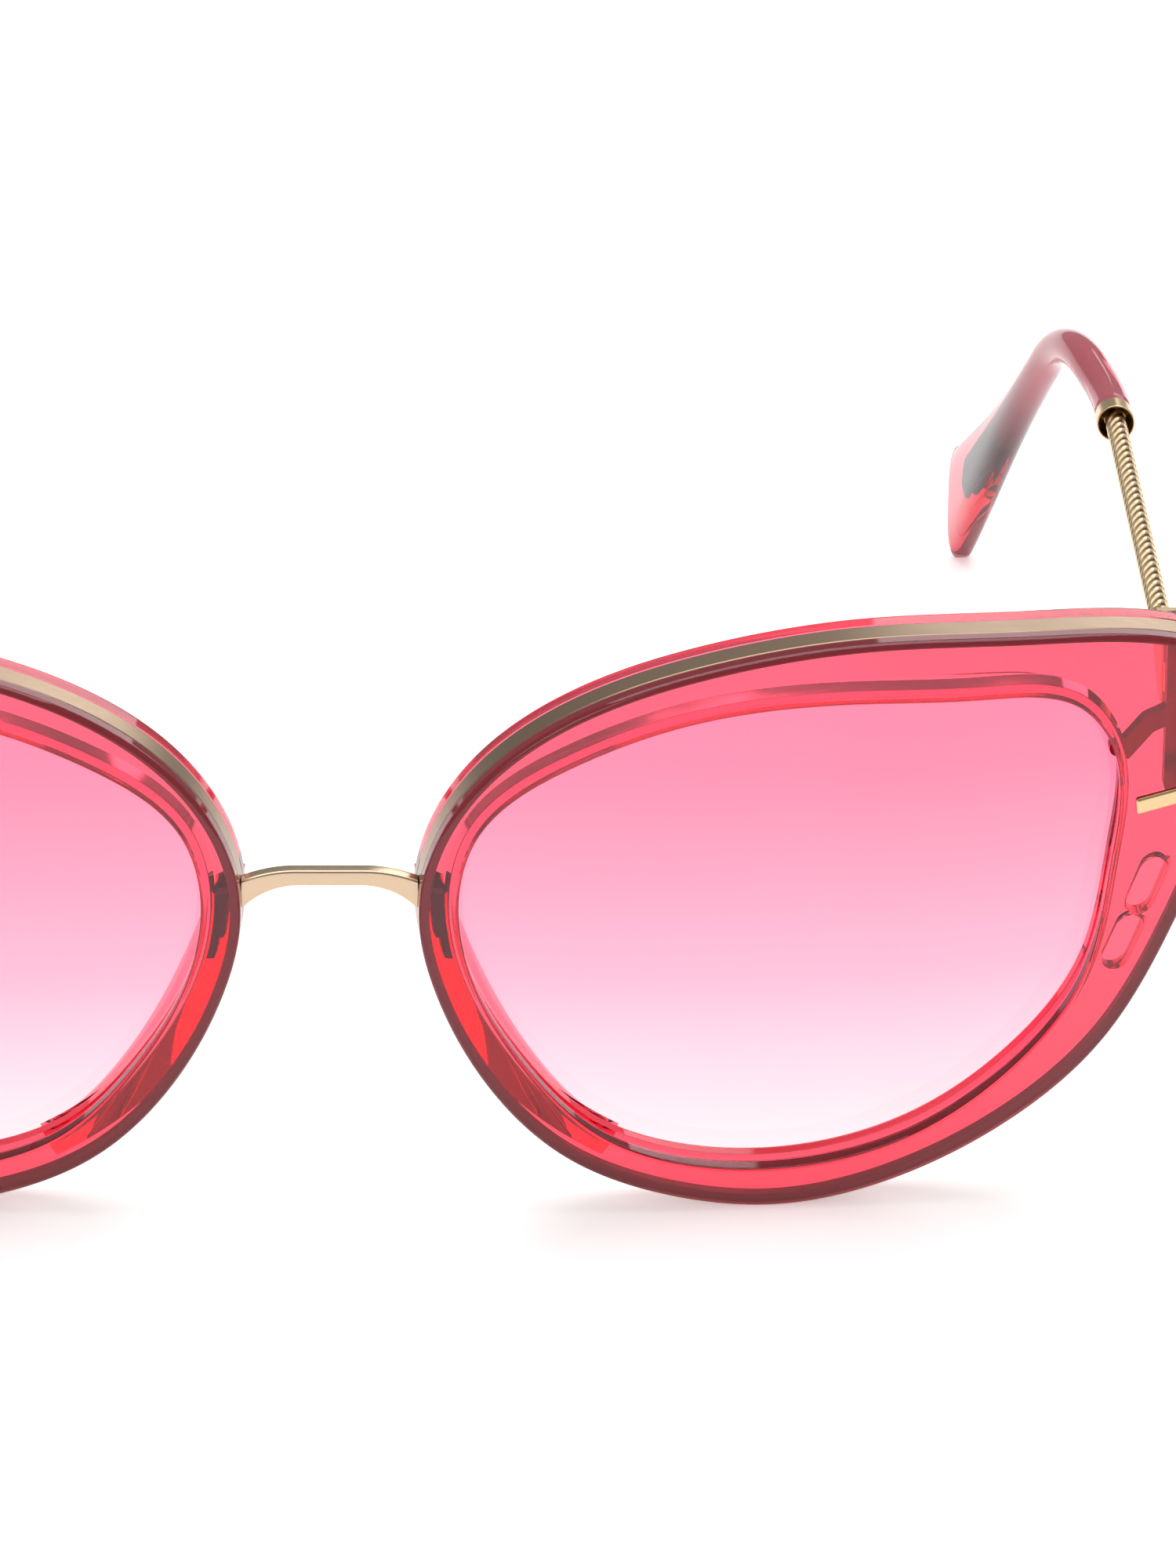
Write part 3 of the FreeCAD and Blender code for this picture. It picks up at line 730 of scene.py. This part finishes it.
def roundedSection(halfWide, halfHigh, radius, steps=6):
    # a rectangle with quarter-circle corners, as (across, up) rows; the half sizes are arrays
    turns = np.linspace(0, math.pi / 2, steps)
    rows = []
    for quarter, (sx, sz) in enumerate(((1, 1), (-1, 1), (-1, -1), (1, -1))):
        angle = turns + quarter * math.pi / 2
        rows.append(np.stack([
            sx * (halfWide[:, None] - radius) + radius * np.cos(angle),
            sz * (halfHigh[:, None] - radius) + radius * np.sin(angle),
        ], axis=-1))
    return np.concatenate(rows, axis=1)


def makeBridge(material):
    # along x the top falls as a parabola at each shoulder, and the underside as a circle's arc
    low, high = (np.array(c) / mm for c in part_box("bridge"))
    end, topZ, frontY = high[0], high[2], low[1]
    x = np.linspace(-end, end, bridge["steps"])
    shoulder = np.maximum(np.abs(x) - (end - bridge["shoulder"]), 0) / bridge["shoulder"]
    top = topZ - bridge["fall"] * shoulder ** 2
    arch = np.maximum(np.abs(x) - (end - bridge["archLength"]), 0)
    under = topZ - bridge["height"] - bridge["archRadius"] + np.sqrt(bridge["archRadius"] ** 2 - arch ** 2)
    section = roundedSection(np.full(len(x), bridge["depth"] / 2), (top - under) / 2, bridge["edge"])
    y = frontY + bridge["depth"] / 2 + section[..., 0]
    z = ((top + under) / 2)[:, None] + section[..., 1]
    surface = np.stack([np.broadcast_to(x[:, None], y.shape), y, z], axis=-1)
    place("bridgeBar", gridMesh("bridgeBar", surface), material, "front", "gold_metal", "bridge")


frontBar = {
    "place": (30.6, 10.5), "length": 7.4, "height": 1.3,
    "proud": 0.33, "sunk": 0.2, "slope": 5.0,
    "corner": 0.18,               # radius of the outline's corners
    "bevel": 0.16,                # width of the slope round the top
    "drop": 0.09,                 # height of that slope
}


def makeFrontBars(material):
    # rounded rectangles, one above another, follow the front's curve: foot, wall, slope and top
    bevel = frontBar["bevel"]
    inset = np.array([0, 0, 0, 0.02, bevel / 2, bevel, 0.4, 0.62])
    top = -frontBar["proud"]
    depth = np.array([frontBar["sunk"], 0, top + frontBar["drop"] + 0.03, top + frontBar["drop"],
                      top + frontBar["drop"] / 2, top, top, top])
    halfLong = frontBar["length"] / 2 - np.minimum(inset, frontBar["height"] / 2 - 0.02)
    halfHigh = frontBar["height"] / 2 - np.minimum(inset, frontBar["height"] / 2 - 0.02)
    radius = np.minimum(frontBar["corner"], halfHigh * 0.9)
    section = roundedSection(halfLong, halfHigh, radius[:, None])
    slope = math.radians(frontBar["slope"])
    along, across = section[..., 0], section[..., 1]
    u = frontBar["place"][0] + along * math.cos(slope) - across * math.sin(slope)
    v = frontBar["place"][1] + along * math.sin(slope) + across * math.cos(slope)
    surface = onFront(u, v, depth[:, None])
    for name, side in sideNames.items():
        mesh = gridMesh(name + "FrontBar", mirrored(surface, side), sharp=25)
        place(name + "FrontBar", mesh, material, "front", "gold_metal", name + "_front_bar")


temple = {
    "shankLength": 64.0, "shankFall": 2.8, "shankToeIn": 0.5,
    "neckLength": 15.9, "neckToeIn": 9.8, "neckBend": 44.0,
    "dropAngle": 39.0, "dropToeIn": 8.0, "dropBend": 26.0,
    "collarStart": 8.9, "collarLength": 2.4, "chainLength": 47.6,
    "endHeight": 11.0,
}


def leading(fall, toeIn):
    fall, toeIn = math.radians(fall), math.radians(toeIn)
    return np.array([-math.cos(fall) * math.sin(toeIn), math.cos(fall) * math.cos(toeIn), -math.sin(fall)])


def bentCorner(corner, before, after, radius, steps=60):
    # the arc that leaves one direction and takes up the next, about a centre inside the corner
    half = math.acos(before @ after) / 2
    inside = (after - before) / np.linalg.norm(after - before)
    centre = corner + inside * radius / math.cos(half)
    outside = (before + after) / np.linalg.norm(before + after)
    turn = np.linspace(-half, half, steps)[:, None]
    return centre + radius * (np.sin(turn) * outside - np.cos(turn) * inside)


def findRoute():
    joint = next(j for j in frame["joints"] if j["name"] == "left_temple_fold")
    pin = np.array(joint["pos_m"]) / mm
    shank = leading(temple["shankFall"], temple["shankToeIn"])
    neck = leading(0, temple["neckToeIn"])
    drop = leading(temple["dropAngle"], temple["dropToeIn"])
    neckAt = pin + shank * temple["shankLength"]
    dropAt = neckAt + neck * temple["neckLength"]
    end = dropAt + drop * (dropAt[2] - temple["endHeight"] / 2) / -drop[2]
    return np.vstack([
        pin,
        bentCorner(neckAt, shank, neck, temple["neckBend"]),
        bentCorner(dropAt, neck, drop, temple["dropBend"]),
        end,
    ])


route = findRoute()
routeSteps = np.concatenate([[0], np.cumsum(np.linalg.norm(np.diff(route, axis=0), axis=1))])
routeLength = routeSteps[-1]
chainStart = temple["collarStart"] + temple["collarLength"]
chainEnd = chainStart + temple["chainLength"]


def onRoute(distance):
    at = np.stack([np.interp(distance, routeSteps, column) for column in route.T], axis=-1)
    ahead = np.minimum(distance + 0.3, routeLength)
    after = np.stack([np.interp(ahead, routeSteps, column) for column in route.T], axis=-1)
    before = np.stack([np.interp(ahead - 0.6, routeSteps, column) for column in route.T], axis=-1)
    heading = after - before
    return at, heading / np.linalg.norm(heading, axis=-1)[..., None]


def turnedSurface(profile, count):
    # (distance, radius) rows turned about the shank's line
    distance, radius = np.array(profile, float).T
    at, heading = onRoute(distance)
    across = np.cross(heading, (0, 0, 1))
    across /= np.linalg.norm(across, axis=1)[:, None]
    lift = np.cross(across, heading)
    angle = np.linspace(0, 2 * math.pi, count, endpoint=False)[None, :, None]
    spoke = across[:, None] * np.cos(angle) + lift[:, None] * np.sin(angle)
    return at[:, None] + spoke * radius[:, None, None]


def templePiece(name, surface, material, slotName, node, **how):
    for sideName, side in sideNames.items():
        full = sideName + name
        mesh = gridMesh(full, mirrored(surface, side), **how)
        place(full, mesh, material, sideName + "_temple", slotName, sideName + "_" + node)


chain = {
    "radius": 0.88,
    "pitch": 1.45,                # mm from one link to the next
    "slant": 1.9,                 # pitches that a link climbs over its half of the tube
    "relief": 0.26,
    "samples": 16,                # rows to a pitch
    "columns": 56,
    "foldAngle": 50.0,            # degrees, where the two slants meet
    "notch": 0.10,                # half width of the dark gaps at the folds, as a share of a half turn
}


def makeChains(material):
    # radius = R - relief (1 - height); height = |sin(pi phase)|^k, phase = s / pitch + slant * fold,
    # where fold runs 0 to 1 and back round the tube, and k grows at the folds so that gaps open there
    count = int(temple["chainLength"] / chain["pitch"] * chain["samples"])
    distance = np.linspace(chainStart, chainEnd, count)
    at, heading = onRoute(distance)
    across = np.cross(heading, (0, 0, 1))
    across /= np.linalg.norm(across, axis=1)[:, None]
    lift = np.cross(across, heading)
    angle = np.linspace(0, 2 * math.pi, chain["columns"], endpoint=False)
    turned = (angle - math.radians(chain["foldAngle"])) / math.pi % 2
    fold = np.where(turned > 1, 2 - turned, turned)
    phase = distance[:, None] / chain["pitch"] + chain["slant"] * fold
    nearFold = np.exp(-(np.minimum(fold, 1 - fold) / chain["notch"]) ** 2)
    height = np.abs(np.sin(math.pi * phase)) ** (1.0 + 1.6 * nearFold)
    height *= 1 - 0.25 * nearFold
    radius = chain["radius"] - chain["relief"] * (1 - height)
    spoke = across[:, None] * np.cos(angle)[:, None] + lift[:, None] * np.sin(angle)[:, None]
    surface = at[:, None] + spoke * radius[..., None]
    # the heights also place the painted shade in the chain's gaps
    templePiece("Chain", surface, material, "gold_chain", "temple_chain", values=height, sharp=60)


ferrule = {
    "radius": 1.6, "length": 2.3, "lip": 0.14, "dish": 1.0,
    "socket": 0.5, "socketRadius": 0.91, "bore": 0.57,
    "edge": 0.22, "columns": 72,
}
collar = {"radius": 1.25, "bore": 0.57, "edge": 0.35, "columns": 64}


def makeFerrules(material):
    mouth = chainEnd - ferrule["socket"] - ferrule["dish"]
    back = mouth + ferrule["length"]
    wide, lip, edge = ferrule["radius"], ferrule["lip"], ferrule["edge"]
    turn = np.linspace(0, math.pi, 7)
    rows = [(mouth + lip / 2 * (1 - math.sin(t)), wide - lip / 2 * (1 + math.cos(t))) for t in turn]
    rows += [(mouth + lip, wide)]
    rows += [tuple(r) for r in roundCorner((back, wide), (1, 0), (0, -1), edge, 5)]
    rows += [(back, ferrule["bore"]), (chainEnd, ferrule["bore"]), (chainEnd, ferrule["socketRadius"])]
    rows += [(chainEnd - ferrule["socket"], ferrule["socketRadius"])]
    surface = turnedSurface(rows, ferrule["columns"])
    templePiece("Ferrule", surface, material, "gold_metal", "temple_ferrule", looped=True)


def makeCollars(material):
    start = temple["collarStart"]
    end = start + temple["collarLength"]
    wide, edge = collar["radius"], collar["edge"]
    rows = [(start, collar["bore"]), (start, wide - 0.05), (start + 0.05, wide)]
    rows += [tuple(r) for r in roundCorner((end, wide), (1, 0), (0, -1), edge, 5)]
    rows += [(end, collar["bore"])]
    surface = turnedSurface(rows, collar["columns"])
    templePiece("Collar", surface, material, "gold_metal", "temple_collar", looped=True)


tip = {
    "radius": 1.55, "flareStart": 0.42, "flarePower": 2.0, "endThickness": 2.8, "endRound": 1.3,
    "endNarrowing": 0.9,
    "squareness": 1.4, "startEdge": 0.3,
    "rows": 130, "roundRows": 8, "columns": 72,
}
core = {
    "radius": 0.55, "start": 6.3, "endGap": 6.5, "endRound": 2.0,
    "paddleHeight": 2.4, "paddleThickness": 0.42,
    "rows": 220, "columns": 24,
}


def sectionRows(at, heading, flare, halfWide, halfHigh, squareness, forward, count):
    # superellipses |x/a|^n + |z/b|^n = 1 that turn upright as the flare grows
    level = heading * np.array([1, 1, 0])
    level /= np.linalg.norm(level, axis=1)[:, None]
    normal = heading * (1 - flare[:, None]) + level * flare[:, None]
    across = np.cross(normal, (0, 0, 1))
    across /= np.linalg.norm(across, axis=1)[:, None]
    lift = np.cross(across, normal)
    lift /= np.linalg.norm(lift, axis=1)[:, None]
    angle = np.linspace(0, 2 * math.pi, count, endpoint=False)
    power = 2 / squareness[:, None]
    x = np.sign(np.cos(angle)) * np.abs(np.cos(angle)) ** power * halfWide[:, None]
    z = np.sign(np.sin(angle)) * np.abs(np.sin(angle)) ** power * halfHigh[:, None]
    middle = at + level * forward[:, None]
    return middle[:, None] + across[:, None] * x[..., None] + lift[:, None] * z[..., None]


def bladeFlare(share):
    return np.maximum((share - tip["flareStart"]) / (1 - tip["flareStart"]), 0) ** tip["flarePower"]


def makeTips(material):
    # round at the ferrule; the half height grows as the square of the way down the drop
    start = chainEnd - ferrule["socket"] - ferrule["dish"] + ferrule["length"]
    body = routeLength - start
    into = np.linspace(0, 1, tip["roundRows"] + 1)[1:]
    share = np.concatenate([np.linspace(0, 1, tip["rows"]), np.ones(tip["roundRows"])])
    rounding = np.concatenate([np.zeros(tip["rows"]), np.sin(into * math.pi / 2)])
    at, heading = onRoute(start + body * share)
    flare = bladeFlare(share)
    inset = tip["endRound"] * (1 - np.sqrt(1 - (rounding * tip["endNarrowing"]) ** 2))
    nearStart = np.clip(1 - body * share / tip["startEdge"], 0, 0.95)
    inset = inset + tip["startEdge"] * (1 - np.sqrt(1 - nearStart ** 2))
    halfHigh = tip["radius"] + (temple["endHeight"] / 2 - tip["radius"]) * flare - inset
    halfWide = tip["radius"] + (tip["endThickness"] / 2 - tip["radius"]) * flare - inset
    squareness = 2 + tip["squareness"] * flare
    forward = tip["endRound"] * rounding
    surface = sectionRows(at, heading, flare, halfWide, halfHigh, squareness, forward, tip["columns"])
    templePiece("Tip", surface, material, "tip_acetate", "temple_tip", sharp=55)


def makeCores(material):
    # a wire that is hammered out into a paddle inside the tip's blade
    end = routeLength - core["endGap"]
    distance = np.linspace(core["start"], end, core["rows"])
    at, heading = onRoute(distance)
    flare = bladeFlare((distance - chainEnd) / (routeLength - chainEnd))
    nearEnd = np.sqrt(1 - np.clip(1 - (end - distance) / core["endRound"], 0, 0.97) ** 2)
    halfHigh = (core["radius"] + (core["paddleHeight"] - core["radius"]) * flare) * nearEnd
    halfWide = core["radius"] + (core["paddleThickness"] - core["radius"]) * flare
    surface = sectionRows(at, heading, flare, halfWide, halfHigh, 2 + flare, 0 * flare, core["columns"])
    templePiece("Core", surface, material, "hinge_steel", "temple_wire", sharp=60)


makeCamera()
makeLamps()
bpy.ops.mesh.primitive_grid_add(x_subdivisions=8, y_subdivisions=8, size=studio["floorSize"])
floor = bpy.context.object
floor.name = "floor"
floor.data.materials.append(floorMaterial())
print("camera, lamps and floor")

rose = acetateMaterial("roseAcetate", acetate)
tipRose = acetateMaterial("tipAcetate", tipAcetate)
gold = metalMaterial("goldMetal")
paleGold = metalMaterial("bridgeMetal")
bronze = trimMaterial()
steel = metalMaterial("shadedHingeSteel")
dark = metalMaterial("darkSteel")
print("materials")

makeRims(rose)
makeTrims(bronze)
makeLenses(lensMaterial())
makeNosePads(rose)
print("rims, trims, lenses and nose pads")
makeBridge(paleGold)
makeFrontBars(gold)
makeChains(chainMaterial())
makeFerrules(gold)
makeCollars(gold)
makeTips(tipRose)
makeCores(coreMaterial())
print("bridge, bars and temples")

finishes = {
    "bridge_anchor": dark, "bracket_screws": dark, "hinge_bracket": steel,
    "hinge_screw": steel, "temple_end": gold,
}
for sideName in sideNames:
    for node, material in finishes.items():
        for slotAt in frame["nodes"][sideName + "_" + node].material_slots:
            slotAt.material = material
print("finishes on the CAD pieces")
